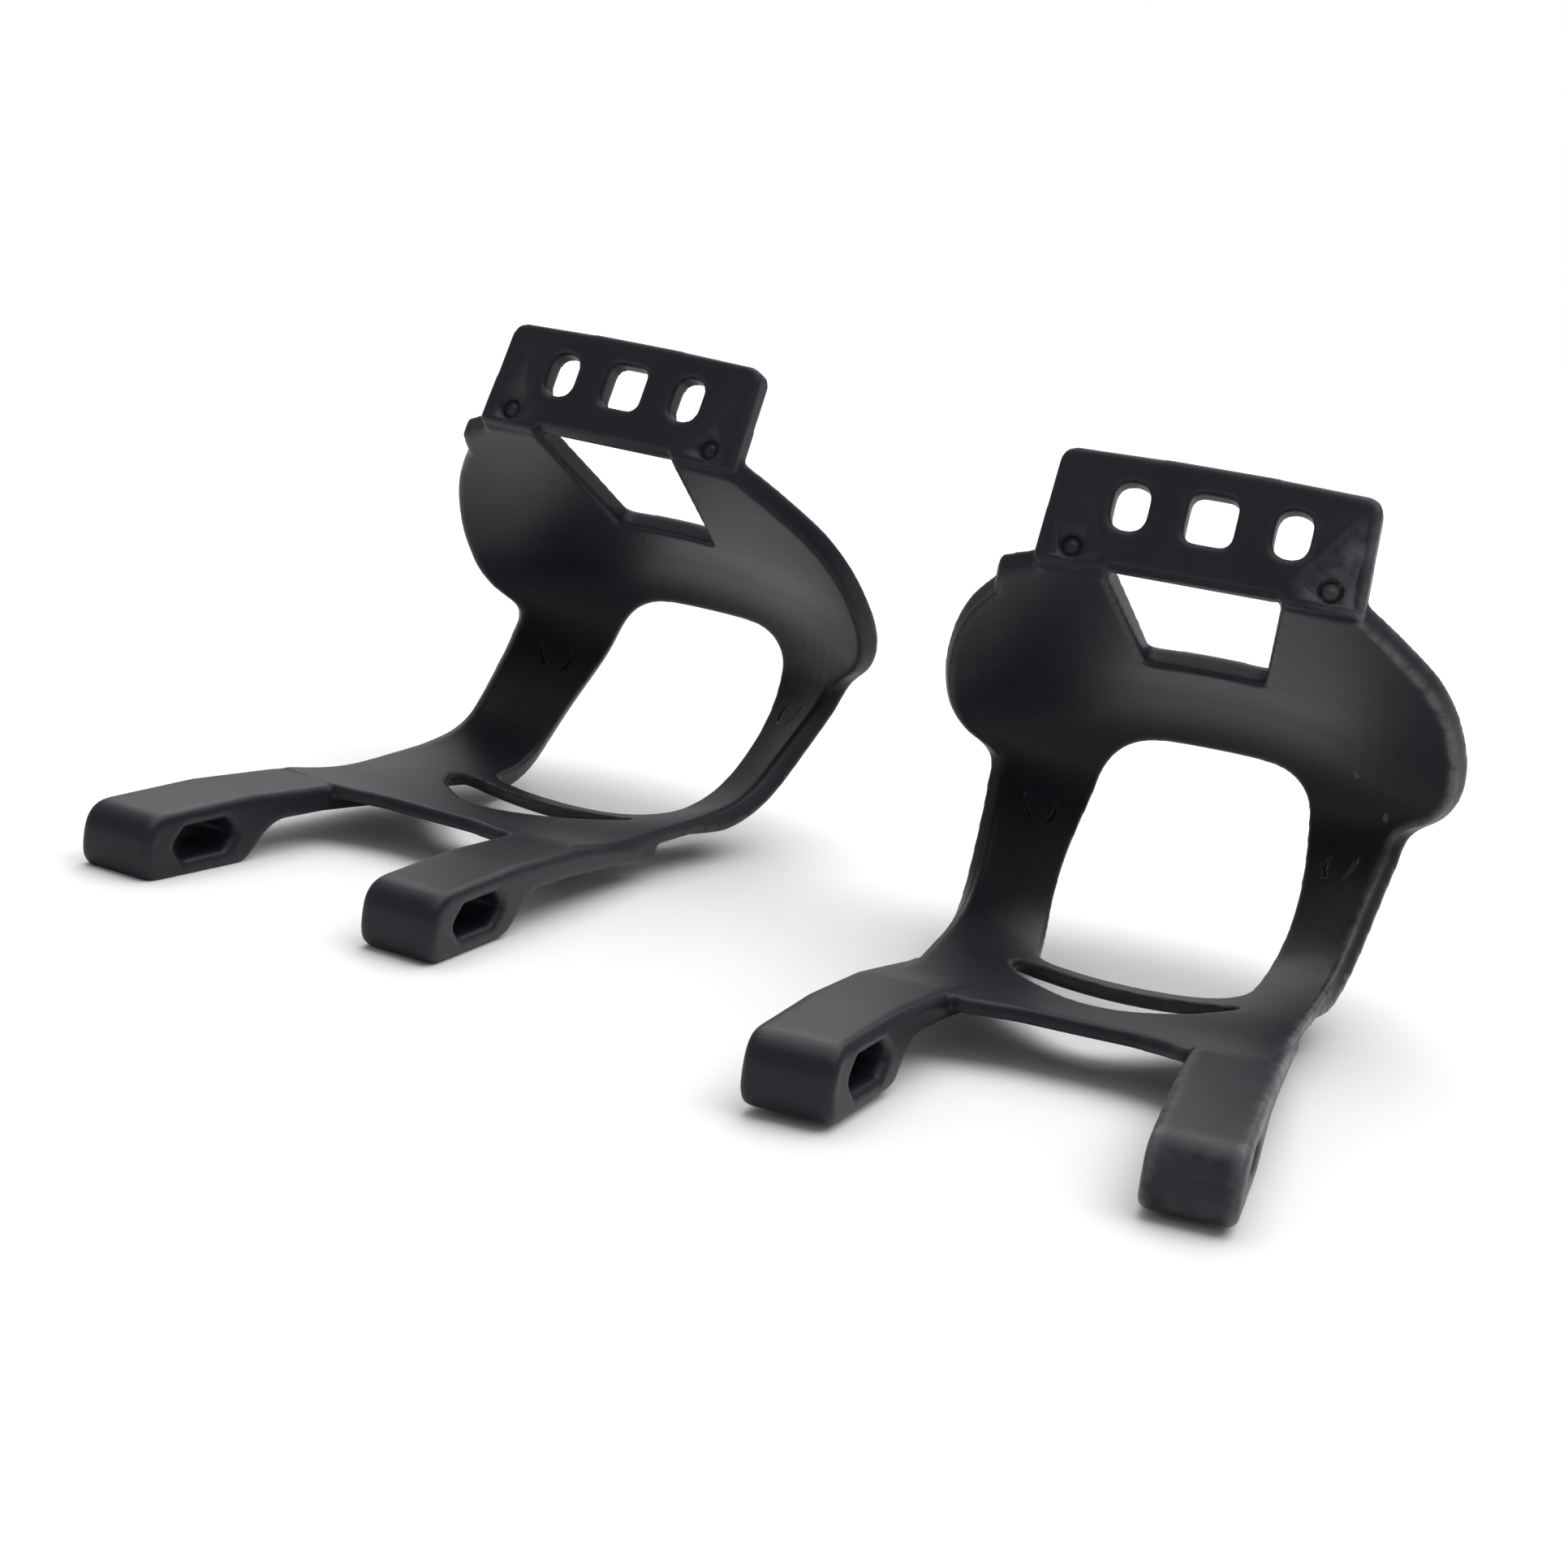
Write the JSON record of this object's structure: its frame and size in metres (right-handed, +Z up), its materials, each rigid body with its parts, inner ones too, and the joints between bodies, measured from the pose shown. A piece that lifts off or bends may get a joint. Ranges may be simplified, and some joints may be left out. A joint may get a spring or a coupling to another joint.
{
  "type": "pair of bicycle pedal toe clips",
  "caption": "Moulded toe cages that bolt to the front of bicycle pedals, each with a screw plate, a curved open cage and arms with strap loops.",
  "frame": {"origin": "on the ground, in the middle of the footprint of the pair", "axes": "+Z up, -Y towards the ends of the strap arms, X across the pair"},
  "size_m": [0.1982, 0.1716, 0.0861],
  "materials": {
    "black_nylon": "satin, fine moulded grain"
  },
  "bodies": {
    "clip_left": {"clip_left": "black_nylon"},
    "clip_right": {"clip_right": "black_nylon"}
  },
  "joints": [
    {"name": "clip_right_lift", "type": "slide", "parent": "clip_left", "child": "clip_right", "axis": [0, 0, 1], "range_m": [0, 0.1]}
  ]
}
